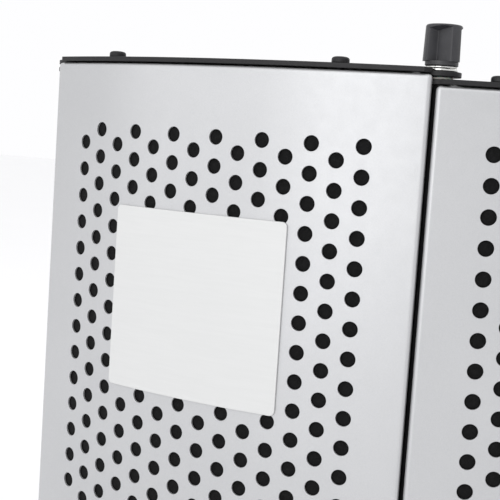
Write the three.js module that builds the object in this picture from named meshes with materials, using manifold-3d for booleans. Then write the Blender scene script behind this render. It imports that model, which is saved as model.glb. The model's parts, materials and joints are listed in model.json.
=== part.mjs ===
// Microphone isolation shield: a curved centre panel with two flat wings on friction hinges,
// end plates with hinge lugs, thumb knobs, and a bar below with a stand socket and a microphone post.
// Millimetres, +Z up. The convex metal side faces -Y and the foam side faces +Y.
// Origin: centre of the stand socket's mouth.
import * as THREE from 'three';
import { mergeVertices } from 'three/addons/utils/BufferGeometryUtils.js';
import Module from 'manifold-3d';

const wasm = await Module();
wasm.setup();

// Driving dimensions
const SKIN = 1.2;                         // sheet thickness
const BEND = 2;                           // outer bend radius of the sheet
const BEND_STEP = 18;                     // longest straight run along a curved panel
const CENTRE_RADIUS = 427;                // outer radius of the curved centre skin
const CENTRE_HALF = 132.4;                // half the centre skin's width, along its arc
const CENTRE_HALF_HEIGHT = 160.5;
const WING_WIDTH = 158.5;
const WING_HALF_HEIGHT = 154.4;
const HINGE_WALL = 6;                     // turned-in edge of a skin beside a hinge
const END_WALL = 24;                      // turned-in edge at a wing's free end
const FLANGE_DEPTH = 12;                  // turned-in top and bottom edges of a skin
const FLEECE_DEPTH = 11.6;                // back of the fleece, from the outer skin
const FOAM_START = 12.6;
const FOAM_VALLEY = 27;
const FOAM_PEAK = 45;
const FOAM_END_GAP = 11.4;                // foam stays this far from the hinge axis along the panel
const FOAM_END_SLOPE = 0.7;               // and is cut back this much per mm of depth, so wings can fold
const WEDGE_PITCH = 22;
const HINGE_DEPTH = 16;                   // hinge axis, behind the outer skin
const AXIS_BEYOND = 3;                    // and this far past the gap between the skins
const HINGE_POST = 6;                     // radius of the post on the hinge axis
const EDGE_GAP = 1.2;                     // between the two skins when the shield is straight
const REST_FOLD = { left_wing: 90, right_wing: 7 };   // degrees each wing is folded in
const PLATE = 2.8;
const PLATE_GAP = 1;                      // shadow gap between a skin and its end plate
// Ends of the end plates, from front to back: distance in from the skin's edge, and depth.
const FREE_PLATE_END = [[2, -0.6], [0, 1.4], [1, 25], [4, 28]];
const CENTRE_PLATE_END = [[4.4, -0.6], [0.1, 5.6], [2, 25], [5, 28]];
const WING_PLATE_END = [[2, -0.6], [1, 0.4], [12, 25], [15, 28]];
const LUG_RADIUS = 11.4;
const LUG_DROP = 1.5;                     // the centre plates' lugs are joggled towards the wings
const BOLT = 3;                           // M6 hinge bolts and studs
const BOLT_HEAD = 6;
const STUD_REACH = 14;                    // their length inside the hinge post
const SCREW = 2.5;                        // M5 plate screws
const SCREW_HEAD = 5.1;
const SCREW_HEAD_HEIGHT = 3.8;
const SCREW_DEPTH = 7;                    // plate screws, behind the outer skin
const CENTRE_SCREW = 79.5;                // plate screws, either side of the middle
const WING_SCREWS = [34, 124];
const CLEAR = 0.3;                        // gap between parts that touch
const BADGE_WIDTH = 120.5;
const BADGE_HEIGHT = 112.3;
const BADGE_SIDE = -2.8;
const BADGE_UP = 17.5;
const BADGE_THICK = 1;
const BADGE_CORNER = 3;
const BAR_WIDTH = 40;
const BAR_THICK = 4;
const BAR_FRONT = 8;                      // Y positions on the bar are measured from the skin's apex
const BAR_BACK = 196;
const BAR_SCREWS = [[-12, 17], [12, 17]];
const STAND_AT = 60;
const POST_AT = 132;
const SLOT_HALF = 44;
const SLOT_WIDTH = 8.8;
const SOCKET_LENGTH = 34;
const SOCKET_RADIUS = 15;
const SOCKET_BORE = 7.95;                 // 5/8 inch stand thread
const POST_RADIUS = 7.95;
const KNOB_HEIGHT = 20.1;
const KNOB_NECK = 2.4;
const KNOB_BASE = 10.6;
const KNOB_TOP = 10.1;
const KNOB_LOBES = 3;
const KNOB_TURN = { left_wing: 20, right_wing: -68 };
const KNOB_CREASE = [3.5, -3];            // bottom of a groove between lobes, from the knob's axis
const KNOB_CEILING = 3.4;                 // the grooves stop this far below the knob's top, at the crease

// Heights above the panels' middle
const CENTRE_PLATE = CENTRE_HALF_HEIGHT + PLATE_GAP;
const CENTRE_PLATE_TOP = CENTRE_PLATE + PLATE;
const LUG = CENTRE_PLATE - LUG_DROP;
const LUG_TOP = LUG + PLATE;
const WING_PLATE = WING_HALF_HEIGHT + PLATE_GAP;
const WING_PLATE_TOP = WING_PLATE + PLATE;
const BAR_TOP = -CENTRE_PLATE_TOP - CLEAR;
const BAR_BOTTOM = BAR_TOP - BAR_THICK;
const MIDDLE_HEIGHT = SOCKET_LENGTH + CLEAR - BAR_BOTTOM;

const AXIS_SIDE = CENTRE_HALF + EDGE_GAP / 2 + AXIS_BEYOND;
const AXIS_ANGLE = AXIS_SIDE / CENTRE_RADIUS;
const AXIS_XY = panelPoint(AXIS_SIDE, HINGE_DEPTH, CENTRE_RADIUS);

const material = (color, roughness, metalness) =>
  new THREE.MeshStandardMaterial({ color, roughness, metalness });
const SILVER = material(0xd4d5d8, 0.42, 0.6);
const BLACK_STEEL = material(0x3f3e42, 0.5, 0.3);
const KNOB_PLASTIC = material(0x4a4a50, 0.55, 0);
const CHROME = material(0xd8d8d6, 0.15, 1);
const ZINC = material(0xb4b6ba, 0.35, 1);
const NYLON = material(0xe6e3dc, 0.5, 0);
const FOAM = material(0x232326, 0.95, 0);
const FLEECE = material(0x18181a, 1, 0);
const BADGE = material(0xe6e8e9, 0.4, 0.3);

// A point given along a panel and in from its outer skin; a flat panel has an infinite radius.
function panelPoint(along, inward, radius) {
  if (radius === Infinity) return new THREE.Vector2(along, inward);
  const angle = along / radius;
  const reach = radius - inward;
  return new THREE.Vector2(reach * Math.sin(angle), radius - reach * Math.cos(angle));
}

// Long runs along a curved panel are split so that they follow its arc.
function bentOutline(points, radius) {
  const outline = [];
  points.forEach(([along, inward], i) => {
    const [nextAlong, nextInward] = points[(i + 1) % points.length];
    const steps = radius === Infinity ? 1 : Math.max(1, Math.ceil(Math.abs(nextAlong - along) / BEND_STEP));
    for (let k = 0; k < steps; k += 1) {
      const f = k / steps;
      const at = [along + f * (nextAlong - along), inward + f * (nextInward - inward)];
      outline.push(panelPoint(at[0], at[1], radius));
    }
  });
  return outline;
}

function extruded(outline, low, high) {
  const shape = new THREE.Shape(outline);
  const geometry = new THREE.ExtrudeGeometry(shape, { depth: high - low, bevelEnabled: false });
  return geometry.translate(0, 0, low);
}

function panelSlab(points, radius, low, high) {
  return extruded(bentOutline(points, radius), low, high);
}

// A turned piece about Z from a closed profile of [radius, height], anticlockwise.
function turned(profile, segments = 20) {
  const points = profile.map(([r, z]) => new THREE.Vector2(r, z));
  return new THREE.LatheGeometry(points, segments).rotateX(Math.PI / 2);
}

function rod(radius, low, high, segments = 20) {
  return turned([[0, low], [radius, low], [radius, high], [0, high]], segments);
}

function ring(inner, outer, low, high, segments = 20) {
  const profile = [[inner, low], [outer, low], [outer, high], [inner, high], [inner, low]];
  return turned(profile, segments);
}

function solid(geometry) {
  const bare = geometry.clone();
  bare.deleteAttribute('normal');
  bare.deleteAttribute('uv');
  const merged = mergeVertices(bare, 1e-4);
  const vertProperties = new Float32Array(merged.attributes.position.array);
  const triVerts = new Uint32Array(merged.index.array);
  return new wasm.Manifold(new wasm.Mesh({ numProp: 3, vertProperties, triVerts }));
}

function geometryOf(manifold) {
  const mesh = manifold.getMesh();
  const geometry = new THREE.BufferGeometry();
  geometry.setAttribute('position', new THREE.BufferAttribute(mesh.vertProperties, 3));
  geometry.setIndex(new THREE.BufferAttribute(mesh.triVerts, 1));
  geometry.computeVertexNormals();
  return geometry;
}

function join(...pieces) {
  return geometryOf(pieces.map(solid).reduce((a, b) => a.add(b)));
}

function cut(piece, cutters) {
  return geometryOf(cutters.map(solid).reduce((a, b) => a.subtract(b), solid(piece)));
}

const placed = (geometry, { x, y }, z = 0) => geometry.translate(x, y, z);

// Upside-down copy of a piece about the panels' middle height.
function flipped(geometry) {
  return geometry.clone().rotateX(Math.PI).scale(1, -1, 1).toNonIndexed();
}

function turnFacesOut(geometry) {
  const position = geometry.attributes.position;
  for (let i = 0; i < position.count; i += 3) {
    for (const axis of ['X', 'Y', 'Z']) {
      const second = position[`get${axis}`](i + 1);
      position[`set${axis}`](i + 1, position[`get${axis}`](i + 2));
      position[`set${axis}`](i + 2, second);
    }
  }
  geometry.computeVertexNormals();
  return geometry;
}

const mirroredDown = (geometry) => turnFacesOut(flipped(geometry));

function add(parent, name, geometry, look, x = 0, y = 0, z = 0) {
  const mesh = new THREE.Mesh(geometry, look);
  mesh.name = name;
  mesh.position.set(x, y, z);
  parent.add(mesh);
  return mesh;
}

// One panel runs from low to high along itself; axisAt lists the hinge axes at its ends.
function skinOutline(low, high, lowDepth, highDepth) {
  const corner = (centre, from) => [0, 1, 2, 3].map((k) => {
    const angle = from + (k / 3) * (Math.PI / 2);
    return [centre + BEND * Math.cos(angle), BEND + BEND * Math.sin(angle)];
  });
  return [
    [low, lowDepth],
    ...corner(low + BEND, Math.PI),
    ...corner(high - BEND, 1.5 * Math.PI),
    [high, highDepth],
  ];
}

function skinWall({ low, high, radius, halfHeight, hingeAtLow, hingeAtHigh }) {
  const lowDepth = hingeAtLow ? HINGE_WALL : END_WALL;
  const highDepth = hingeAtHigh ? HINGE_WALL : END_WALL;
  const outer = skinOutline(low, high, lowDepth, highDepth);
  const inside = BEND - SKIN;
  const inner = [
    [high - SKIN, highDepth],
    [high - SKIN, BEND],
    [high - SKIN - inside, SKIN],
    [low + SKIN + inside, SKIN],
    [low + SKIN, BEND],
    [low + SKIN, lowDepth],
  ];
  return panelSlab([...outer, ...inner], radius, -halfHeight, halfHeight);
}

function panelSkin(panel) {
  const { low, high, radius, halfHeight, screws, axes, notch } = panel;
  const lid = skinOutline(low, high, FLANGE_DEPTH, FLANGE_DEPTH);
  const pan = join(
    skinWall(panel),
    panelSlab(lid, radius, halfHeight - SKIN, halfHeight),
    panelSlab(lid, radius, -halfHeight, SKIN - halfHeight),
  );
  const cutters = screws.flatMap((along) => {
    const at = panelPoint(along, SCREW_DEPTH, radius);
    return [placed(rod(SCREW + CLEAR, -halfHeight - 1, halfHeight + 1, 12), at)];
  });
  for (const axis of axes) {
    cutters.push(placed(rod(notch, panel.notchLow, halfHeight + 1, 24), axis));
    cutters.push(placed(rod(notch, -halfHeight - 1, -panel.notchLow, 24), axis));
  }
  return cut(pan, cutters);
}

// Bore and cone for a flat-headed bolt that comes flush with a plate's outer face.
function countersink() {
  const bore = BOLT + CLEAR;
  return turned([
    [0, -1], [bore, -1], [bore, 0.1],
    [BOLT_HEAD + CLEAR, PLATE - 0.1], [BOLT_HEAD + CLEAR, PLATE + 1], [0, PLATE + 1],
  ], 24);
}

function endPlate(panel) {
  const { low, high, radius, plateLow, screws, axes, plateEnd } = panel;
  const lowEnd = panel.hingeAtLow ? plateEnd : FREE_PLATE_END;
  const highEnd = panel.hingeAtHigh ? plateEnd : FREE_PLATE_END;
  const outline = [
    ...lowEnd.map(([along, inward]) => [low + along, inward]).reverse(),
    ...highEnd.map(([along, inward]) => [high - along, inward]),
  ];
  const lugLow = plateLow - panel.lugDrop;
  const step = axes.map((axis) => placed(rod(LUG_RADIUS, lugLow + PLATE, plateLow + PLATE + 1, 28), axis));
  const slab = panelSlab(outline, radius, plateLow, plateLow + PLATE);
  const pieces = [panel.lugDrop ? cut(slab, step) : slab];
  axes.forEach((axis) => pieces.push(placed(rod(LUG_RADIUS, lugLow, lugLow + PLATE, 28), axis)));
  const bosses = screws.map((along) => panelPoint(along, SCREW_DEPTH, radius));
  bosses.forEach((at) => pieces.push(placed(rod(4.2, plateLow - PLATE_GAP + CLEAR, plateLow + 1, 12), at)));
  const cutters = bosses.map((at) => placed(rod(SCREW + CLEAR, plateLow - 2, plateLow + PLATE + 1, 12), at));
  axes.forEach((axis) => {
    const bore = Math.sign(axis.x) === panel.countersunk ? countersink() : rod(BOLT + CLEAR, -1, PLATE + 1, 16);
    cutters.push(placed(bore, axis, lugLow));
  });
  return cut(join(...pieces), cutters);
}

function fleeceOutline({ low, high, hingeAtLow, hingeAtHigh }) {
  const from = hingeAtLow ? low + 9 : low + SKIN + 1;
  const to = hingeAtHigh ? high - 9 : high - SKIN - 1;
  return [[from, SKIN + CLEAR], [to, SKIN + CLEAR], [to, FLEECE_DEPTH], [from, FLEECE_DEPTH]];
}

// The foam's back is a row of upright wedges; at a hinge its end is cut back for the fold.
function foamOutline({ low, high, hingeAtLow, hingeAtHigh }) {
  const endAt = (hinged, depth) => {
    const back = Math.max(0, depth - HINGE_DEPTH) * FOAM_END_SLOPE;
    return hinged ? FOAM_END_GAP + back : SKIN + 1;
  };
  const from = low + endAt(hingeAtLow, FOAM_PEAK);
  const to = high - endAt(hingeAtHigh, FOAM_PEAK);
  const count = Math.round((to - from) / WEDGE_PITCH);
  const pitch = (to - from) / count;
  const teeth = [];
  for (let k = 0; k < count; k += 1) {
    const start = to - k * pitch;
    teeth.push([start - 0.06 * pitch, FOAM_VALLEY]);
    teeth.push([start - 0.42 * pitch, FOAM_PEAK]);
    teeth.push([start - 0.58 * pitch, FOAM_PEAK]);
    teeth.push([start - 0.94 * pitch, FOAM_VALLEY]);
  }
  return [
    [low + endAt(hingeAtLow, 0), FOAM_START],
    [high - endAt(hingeAtHigh, 0), FOAM_START],
    ...teeth,
  ];
}

function panScrew(headFrom, direction, reach) {
  const profile = [
    [0, -reach],
    [SCREW, -reach],
    [SCREW, CLEAR],
    [SCREW_HEAD, CLEAR],
    [SCREW_HEAD, SCREW_HEAD_HEIGHT * 0.55],
    [SCREW_HEAD * 0.78, SCREW_HEAD_HEIGHT * 0.9],
    [SCREW_HEAD * 0.35, SCREW_HEAD_HEIGHT],
    [0, SCREW_HEAD_HEIGHT],
  ];
  const screw = turned(profile, 12);
  if (direction < 0) screw.rotateX(Math.PI);
  return screw.translate(0, 0, headFrom);
}

function addScrews(parent, name, panel) {
  const plateTop = panel.plateLow + PLATE;
  const reach = PLATE + PLATE_GAP + SKIN + 2.5;
  panel.screws.forEach((along, i) => {
    const at = panelPoint(along, SCREW_DEPTH, panel.radius);
    add(parent, `${name}_top_screw_${i + 1}`, panScrew(plateTop, 1, reach), BLACK_STEEL, at.x, at.y);
    add(parent, `${name}_bottom_screw_${i + 1}`, panScrew(-plateTop, -1, reach), BLACK_STEEL, at.x, at.y);
  });
}

function addPanel(parent, name, panel) {
  const { radius, halfHeight, plateLow } = panel;
  const fleeceTop = halfHeight - 8;
  const foamTop = plateLow - CLEAR - 0.2;
  const plate = endPlate(panel);
  const bottomPlate = panel.barHoles
    ? cut(plate.clone().rotateY(Math.PI), panel.barHoles)
    : mirroredDown(plate);
  add(parent, `${name}_skin`, panelSkin(panel), SILVER);
  const fleece = panelSlab(fleeceOutline(panel), radius, -fleeceTop, fleeceTop);
  add(parent, `${name}_fleece`, fleece, FLEECE);
  add(parent, `${name}_foam`, panelSlab(foamOutline(panel), radius, -foamTop, foamTop), FOAM);
  add(parent, `${name}_top_plate`, plate, BLACK_STEEL);
  add(parent, `${name}_bottom_plate`, bottomPlate, BLACK_STEEL);
  addScrews(parent, name, panel);
}

function badge() {
  const [w, h, c] = [BADGE_WIDTH / 2, BADGE_HEIGHT / 2, BADGE_CORNER];
  const corner = (x, z, from) => [0, 1, 2, 3].map((k) => {
    const angle = from + (k / 3) * (Math.PI / 2);
    return new THREE.Vector2(x + c * Math.cos(angle), z + c * Math.sin(angle));
  });
  const face = new THREE.Shape([
    ...corner(w - c, h - c, 0),
    ...corner(c - w, h - c, Math.PI / 2),
    ...corner(c - w, c - h, Math.PI),
    ...corner(w - c, c - h, 1.5 * Math.PI),
  ]);
  const blank = new THREE.ExtrudeGeometry(face, { depth: 30, bevelEnabled: false });
  blank.rotateX(Math.PI / 2).translate(BADGE_SIDE, 12, BADGE_UP);
  const band = [
    [BADGE_SIDE - w - 5, -CLEAR - BADGE_THICK],
    [BADGE_SIDE + w + 5, -CLEAR - BADGE_THICK],
    [BADGE_SIDE + w + 5, -CLEAR],
    [BADGE_SIDE - w - 5, -CLEAR],
  ];
  const sheet = panelSlab(band, CENTRE_RADIUS, BADGE_UP - h - 5, BADGE_UP + h + 5);
  return geometryOf(solid(sheet).intersect(solid(blank)));
}

// One lopsided V groove between two lobes; its ceiling slopes up and out to just under the knob's top.
function knobGroove(angle) {
  const [x, y] = KNOB_CREASE;
  const groove = new THREE.Shape([[x, y], [8.4, -11.1], [14, -11.1], [14, 8.1], [12, 8.1]].map(([u, v]) => (
    new THREE.Vector2(u, v)
  )));
  const geometry = new THREE.ExtrudeGeometry(groove, { depth: 1, bevelEnabled: false });
  const position = geometry.attributes.position;
  for (let i = 0; i < position.count; i += 1) {
    const ceiling = KNOB_HEIGHT - KNOB_CEILING + (position.getX(i) - x) * 0.35;
    position.setZ(i, position.getZ(i) > 0.5 ? ceiling : 0.5);
  }
  return geometry.rotateZ(angle);
}

function knob(turn) {
  const body = turned([
    [0, 0], [KNOB_BASE, 0], [KNOB_TOP, KNOB_HEIGHT - 1.2], [KNOB_TOP - 1.2, KNOB_HEIGHT], [0, KNOB_HEIGHT],
  ], 32);
  const grooves = [];
  for (let k = 0; k < KNOB_LOBES; k += 1) grooves.push(knobGroove(turn + (2 * Math.PI * k) / KNOB_LOBES));
  const neck = rod(9.2, -KNOB_NECK, 0.8, 24);
  const bore = rod(BOLT + CLEAR, -3, 12.3, 16);
  return cut(join(cut(body, grooves), neck), [bore]);
}

function hexNut(acrossFlats, low, high, bore) {
  const r = acrossFlats / Math.sqrt(3);
  return cut(rod(r, low, high, 6), [rod(bore, low - 1, high + 1)]);
}

// Hardware on one hinge axis. The right hinge has its knob on top and the left one below, as the same
// set turned over. The knob and its stud turn together; the rest stays with the panels.
function addHinge(parent, wing, side, turn) {
  const { x, y } = AXIS_XY;
  const name = side < 0 ? 'left' : 'right';
  const place = (piece, geometry, look) => {
    const turnedOver = side < 0 ? geometry.rotateX(Math.PI) : geometry;
    add(parent, `${name}_${piece}`, turnedOver, look, side * x, y);
  };
  const washer = LUG_TOP + CLEAR;
  const bore = BOLT + CLEAR;
  place('washer', ring(bore, 9.2, washer, washer + 1.1, 24), CHROME);
  place('spring_washer', ring(bore, 8.8, washer + 1.4, washer + 2.5, 24), CHROME);
  place('knob_spacer', ring(bore, 7, WING_PLATE_TOP + CLEAR, LUG - CLEAR), NYLON);
  place('bolt_spacer', ring(bore, 7, -LUG + CLEAR, -WING_PLATE_TOP - CLEAR), NYLON);
  const knobFrom = washer + 2.8 + KNOB_NECK;
  place('knob', knob(turn).translate(0, 0, knobFrom), KNOB_PLASTIC);
  place('stud', rod(BOLT, WING_PLATE - STUD_REACH, knobFrom + 12, 16), ZINC);
  place('hinge_bolt', turned([
    [0, -LUG_TOP], [BOLT_HEAD, -LUG_TOP], [BOLT_HEAD, -LUG_TOP + 0.3],
    [BOLT, -LUG], [BOLT, -WING_PLATE + STUD_REACH], [0, -WING_PLATE + STUD_REACH],
  ], 24), BLACK_STEEL);
  const top = WING_PLATE - CLEAR;
  const inside = top - STUD_REACH - 1;
  const post = turned([
    [0, -inside], [bore, -inside], [bore, -top], [HINGE_POST, -top],
    [HINGE_POST, top], [bore, top], [bore, inside], [0, inside],
  ]);
  add(wing, `${name}_hinge_post`, post, BLACK_STEEL);
}

function mountBar() {
  const half = BAR_WIDTH / 2;
  const outline = new THREE.Shape();
  outline.moveTo(-half, BAR_FRONT + 6);
  outline.lineTo(-half + 6, BAR_FRONT);
  outline.lineTo(half - 6, BAR_FRONT);
  outline.lineTo(half, BAR_FRONT + 6);
  outline.lineTo(half, BAR_BACK - half);
  outline.absarc(0, BAR_BACK - half, half, 0, Math.PI, false);
  const slot = new THREE.Path();
  const r = SLOT_WIDTH / 2;
  slot.absarc(0, POST_AT + SLOT_HALF - r, r, 0, Math.PI, false);
  slot.absarc(0, POST_AT - SLOT_HALF + r, r, Math.PI, 2 * Math.PI, false);
  const stand = new THREE.Path();
  stand.absarc(0, STAND_AT, 8.3, 0, 2 * Math.PI, false);
  outline.holes.push(slot, stand);
  BAR_SCREWS.forEach(([x, y]) => {
    const hole = new THREE.Path();
    hole.absarc(x, y, SCREW + CLEAR, 0, 2 * Math.PI, false);
    outline.holes.push(hole);
  });
  const settings = { depth: BAR_THICK, bevelEnabled: false, curveSegments: 10 };
  const geometry = new THREE.ExtrudeGeometry(outline, settings);
  return geometry.translate(0, 0, BAR_BOTTOM);
}

function standSocket() {
  const low = BAR_BOTTOM - CLEAR - SOCKET_LENGTH;
  const high = BAR_BOTTOM - CLEAR;
  return turned([
    [SOCKET_BORE, low], [SOCKET_RADIUS - 1.5, low], [SOCKET_RADIUS, low + 1.5], [SOCKET_RADIUS, high],
    [8, high], [8, BAR_TOP + 7], [0, BAR_TOP + 7], [0, low + 22], [SOCKET_BORE, low + 22], [SOCKET_BORE, low],
  ], 24);
}

function addMount(parent) {
  add(parent, 'mount_bar', mountBar(), BLACK_STEEL);
  BAR_SCREWS.forEach(([x, y], i) => {
    const screw = panScrew(BAR_BOTTOM, -1, BAR_THICK + CLEAR + PLATE - 0.4);
    add(parent, `bar_screw_${i + 1}`, screw, BLACK_STEEL, x, y);
  });
  add(parent, 'stand_socket', standSocket(), BLACK_STEEL, 0, STAND_AT);
  const lockNut = hexNut(24, BAR_TOP + CLEAR, BAR_TOP + 5.5, 8.3);
  add(parent, 'stand_lock_nut', lockNut, ZINC, 0, STAND_AT);
  const post = turned([
    [0, BAR_BOTTOM - 14], [4, BAR_BOTTOM - 14], [4, BAR_TOP + CLEAR], [12, BAR_TOP + CLEAR],
    [12, BAR_TOP + 3], [POST_RADIUS, BAR_TOP + 3], [POST_RADIUS, BAR_TOP + 16],
    [POST_RADIUS - 1, BAR_TOP + 17], [0, BAR_TOP + 17],
  ], 24);
  add(parent, 'mic_post', post, CHROME, 0, POST_AT);
  const wheel = [];
  const ribs = 18;
  for (let k = 0; k < 2 * ribs; k += 1) {
    const angle = (Math.PI * k) / ribs;
    const r = k % 2 ? 13.2 : 14;
    wheel.push(new THREE.Vector2(r * Math.cos(angle), r * Math.sin(angle)));
  }
  const disc = extruded(wheel, BAR_BOTTOM - 11, BAR_BOTTOM - 1.8);
  const lockWheel = cut(disc, [rod(4 + CLEAR, BAR_BOTTOM - 12, BAR_BOTTOM)]);
  add(parent, 'post_lock_wheel', lockWheel, KNOB_PLASTIC, 0, POST_AT);
  add(parent, 'post_washer', ring(4 + CLEAR, 12, BAR_BOTTOM - 1.5, BAR_BOTTOM - CLEAR, 24), ZINC, 0, POST_AT);
}

function build() {
  const shield = new THREE.Group();
  const panels = new THREE.Group();
  panels.position.set(0, -STAND_AT, MIDDLE_HEIGHT);
  shield.add(panels);

  const centre = {
    low: -CENTRE_HALF,
    high: CENTRE_HALF,
    radius: CENTRE_RADIUS,
    halfHeight: CENTRE_HALF_HEIGHT,
    plateLow: CENTRE_PLATE,
    screws: [-CENTRE_SCREW, CENTRE_SCREW],
    axes: [new THREE.Vector2(-AXIS_XY.x, AXIS_XY.y), AXIS_XY],
    notch: LUG_RADIUS + 0.5,
    lugDrop: LUG_DROP,
    notchLow: WING_PLATE - 0.8,
    plateEnd: CENTRE_PLATE_END,
    countersunk: -1,
    hingeAtLow: true,
    hingeAtHigh: true,
    barHoles: BAR_SCREWS.map(([x, y]) => {
      return placed(rod(SCREW + CLEAR, BAR_TOP - 1, BAR_TOP + PLATE + 2, 12), { x, y });
    }),
  };
  addPanel(panels, 'centre', centre);
  add(panels, 'badge_plate', badge(), BADGE);

  for (const side of [-1, 1]) {
    const name = side < 0 ? 'left_wing' : 'right_wing';
    const wing = new THREE.Group();
    wing.position.set(side * AXIS_XY.x, AXIS_XY.y, 0);
    wing.rotation.z = side * (AXIS_ANGLE + THREE.MathUtils.degToRad(REST_FOLD[name]));
    panels.add(wing);
    const sheets = new THREE.Group();
    sheets.position.set(0, -HINGE_DEPTH, 0);
    wing.add(sheets);
    const near = EDGE_GAP / 2 - AXIS_BEYOND;
    const far = near + WING_WIDTH;
    addPanel(sheets, name, {
      low: side < 0 ? -far : near,
      high: side < 0 ? -near : far,
      radius: Infinity,
      halfHeight: WING_HALF_HEIGHT,
      plateLow: WING_PLATE,
      screws: WING_SCREWS.map((at) => side * (near + at)),
      axes: [new THREE.Vector2(0, HINGE_DEPTH)],
      notch: HINGE_POST + 0.8,
      lugDrop: 0,
      notchLow: WING_HALF_HEIGHT - 3,
      plateEnd: WING_PLATE_END,
      hingeAtLow: side > 0,
      hingeAtHigh: side < 0,
    });
    addHinge(panels, wing, side, THREE.MathUtils.degToRad(KNOB_TURN[name]));
  }
  addMount(panels);
  return shield;
}

export default build();
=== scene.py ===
import json
import math

import bpy
from mathutils import Matrix, Vector, noise
from mathutils.geometry import tessellate_polygon


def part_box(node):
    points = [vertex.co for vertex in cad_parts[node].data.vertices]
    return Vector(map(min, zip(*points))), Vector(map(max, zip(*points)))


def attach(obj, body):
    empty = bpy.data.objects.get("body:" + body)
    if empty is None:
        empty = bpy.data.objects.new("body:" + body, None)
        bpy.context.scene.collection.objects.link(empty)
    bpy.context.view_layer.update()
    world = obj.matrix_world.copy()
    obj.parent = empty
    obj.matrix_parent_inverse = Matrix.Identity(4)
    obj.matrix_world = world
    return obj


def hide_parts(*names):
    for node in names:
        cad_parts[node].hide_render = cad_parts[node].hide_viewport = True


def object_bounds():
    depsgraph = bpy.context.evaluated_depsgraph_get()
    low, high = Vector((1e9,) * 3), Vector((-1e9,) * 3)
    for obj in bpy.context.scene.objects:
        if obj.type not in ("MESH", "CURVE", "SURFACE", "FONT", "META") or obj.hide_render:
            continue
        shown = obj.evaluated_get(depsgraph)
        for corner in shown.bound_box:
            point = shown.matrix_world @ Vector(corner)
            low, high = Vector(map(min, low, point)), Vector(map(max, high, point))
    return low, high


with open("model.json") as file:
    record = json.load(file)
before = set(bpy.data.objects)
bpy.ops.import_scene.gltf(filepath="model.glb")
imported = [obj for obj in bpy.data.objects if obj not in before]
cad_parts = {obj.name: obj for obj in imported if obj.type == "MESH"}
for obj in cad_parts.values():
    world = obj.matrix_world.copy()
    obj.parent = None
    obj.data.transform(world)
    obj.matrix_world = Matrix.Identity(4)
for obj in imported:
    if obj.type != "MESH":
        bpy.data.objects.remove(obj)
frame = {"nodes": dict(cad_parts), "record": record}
cad_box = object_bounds()
scene = bpy.context.scene
scene.view_settings.view_transform = "Standard"

# Shapes are worked out in millimetres and placed in metres.
MM = 0.001
SHEET = 1.2                                # thickness of the perforated skins
BEND = 2.0                                 # outer radius of their bent edges
CURVE = 427.0                              # outer radius of the curved centre skin
CENTRE_HALF = 132.4                        # half the centre skin's width, along its arc
AXIS_ALONG = 136.0                         # hinge axes, along the arc and behind the outer skin
AXIS_DEPTH = 16.0
REST_FOLD = {1: math.radians(7), -1: math.radians(90)}   # right and left wing, folded in
WING_NEAR = -2.4                           # a wing's edges, from its hinge axis
WING_FAR = 156.1
PLATE = 2.8
PLATE_GAP = 1.0                            # dark line between a skin and its end plate
LUG = 11.4
LUG_DROP = 1.5                             # the centre plates' lugs are joggled towards the wings
HOLE = 4.5                                 # radius
HOLE_ALONG = 15.1                          # spacing of hole columns and rows
HOLE_UP = 17.0
FLANGE = 12.0                              # turned-in top and bottom edges of a skin
HINGE_WALL = 5.0                           # depth of its turned-in side edges, at a hinge
END_WALL = 24.0                            # and at a free end
BOLT_BORE = 3.3                            # radius, for the hinge bolts and studs
SCREW_BORE = 2.8                           # radius, for the pan screws
SCREW_DEPTH = 7.0                          # the end plates' screws, in from the outer skin
BAR_SCREWS = (-12, 12)                     # the bar's screws, to both sides and in from the outer skin
BAR_SCREW_DEPTH = 17
TOUCH = 0.3                                # gap between pieces that bear on each other
BADGE = (120.5, 112.3, -2.8, 17.5)         # width, height, and its centre along and up
KNOB_HEIGHT = 20.1
KNOB_NECK = 2.4
STAND_PITCH = 0.94                         # 5/8 inch stand thread, 27 turns to the inch

centre_low, centre_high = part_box("centre_skin")
MIDDLE = (centre_low.z + centre_high.z) / 2 / MM
APEX = centre_low.y / MM
AXES = {
    joint["child"]: Vector(joint["pos_m"]) / MM
    for joint in frame["record"]["behaviour"]["joints"] if joint.get("pos_m")
}


class Panel:
    """One panel. Points on it are given along it, in from its outer skin, and up from its middle."""

    def __init__(self, name, low, high, half, holes, screws, side=0):
        self.name, self.low, self.high, self.half = name, low, high, half
        self.holes, self.screws, self.side = holes, screws, side
        self.plate = half + PLATE_GAP
        self.hinge_low, self.hinge_high = side >= 0, side <= 0

    def place(self, along, inward, up):
        if not self.side:
            angle, reach = along / CURVE, CURVE - inward
            return Vector((reach * math.sin(angle), APEX + CURVE - reach * math.cos(angle), MIDDLE + up)) * MM
        turn = self.side * (AXIS_ALONG / CURVE + REST_FOLD[self.side])
        flat = Matrix.Rotation(turn, 3, "Z") @ Vector((along, inward - AXIS_DEPTH, 0))
        axis = AXES[self.name]
        return Vector((axis.x + flat.x, axis.y + flat.y, MIDDLE + up)) * MM


# Hole columns: place along the panel, and whether the column starts on the top row or half a row lower.
# With them goes the height of the top row.
centre = Panel(
    "centre", -CENTRE_HALF, CENTRE_HALF, 160.5,
    ([((c - 6.5) * HOLE_ALONG, c % 2 == 1) for c in range(14)], 119.0),
    (-79.5, 79.5),
)
right_wing = Panel(
    "right_wing", WING_NEAR, WING_FAR, 154.4,
    ([(30.9 + c * HOLE_ALONG, c % 2 == 0) for c in range(7)], 119.4),
    (31.6, 121.6), 1,
)
left_wing = Panel(
    "left_wing", -WING_FAR, -WING_NEAR, 154.4,
    ([(-30.9 - c * HOLE_ALONG, c % 2 == 0) for c in reversed(range(7))], 119.4),
    (-121.6, -31.6), -1,
)
PANELS = (centre, left_wing, right_wing)


# ---------------------------------------------------------------- materials

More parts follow.
